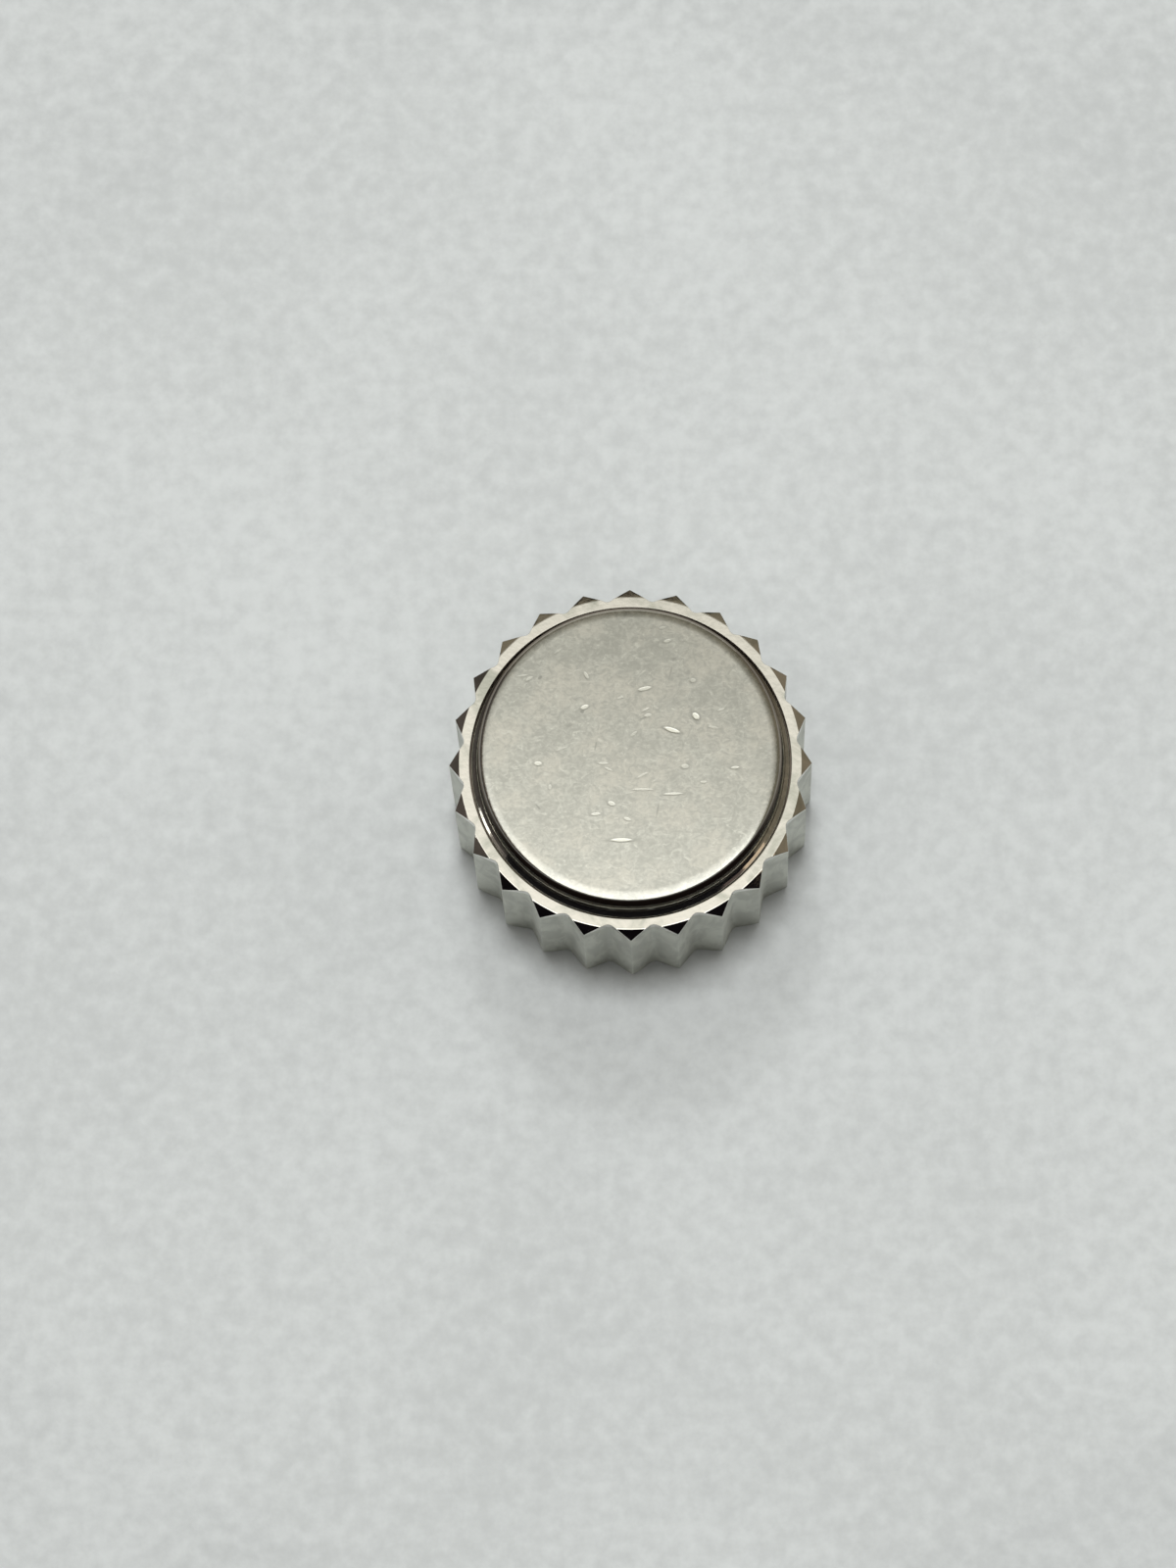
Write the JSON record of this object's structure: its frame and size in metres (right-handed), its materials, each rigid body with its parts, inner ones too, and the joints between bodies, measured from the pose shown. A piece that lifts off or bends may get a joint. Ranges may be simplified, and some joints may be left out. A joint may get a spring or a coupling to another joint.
{
  "type": "watch crown",
  "caption": "Screw-down watch crown with a toothed head, a raised satin cap and a sprung hub for the winding stem.",
  "frame": {"origin": "centre of the base plane, the open side that the crown stands on", "axes": "+Z along the crown's axis from the open stem side to the cap, +X through the tip of a tooth"},
  "size_m": [0.007, 0.007, 0.0038],
  "materials": {
    "polished_steel": "polished, with cut facets on the teeth",
    "satin_steel": "fine satin grain with light scratches",
    "turned_steel": "fine turned lines",
    "hub_steel": "fine turned lines, half bright",
    "spring_steel": "drawn wire",
    "washer_steel": "stamped and tumbled",
    "gasket_rubber": "matt moulded"
  },
  "bodies": {
    "head": {"head_shell": "polished_steel", "top_cap": "satin_steel", "thread_sleeve": "turned_steel", "guide_tube": "turned_steel", "hub_spring": "spring_steel", "spring_washer": "washer_steel", "hub_retaining_ring": "washer_steel", "face_gasket": "gasket_rubber", "gasket_washer": "washer_steel", "guide_o_ring": "gasket_rubber"},
    "hub": {"stem_hub": "hub_steel"}
  },
  "joints": [
    {"name": "hub_slide", "type": "slide", "parent": "head", "child": "hub", "axis": [0, 0, 1], "range_m": [0, 0.0009], "stiffness_N_per_m": 1050, "deforming": ["hub_spring"]}
  ]
}
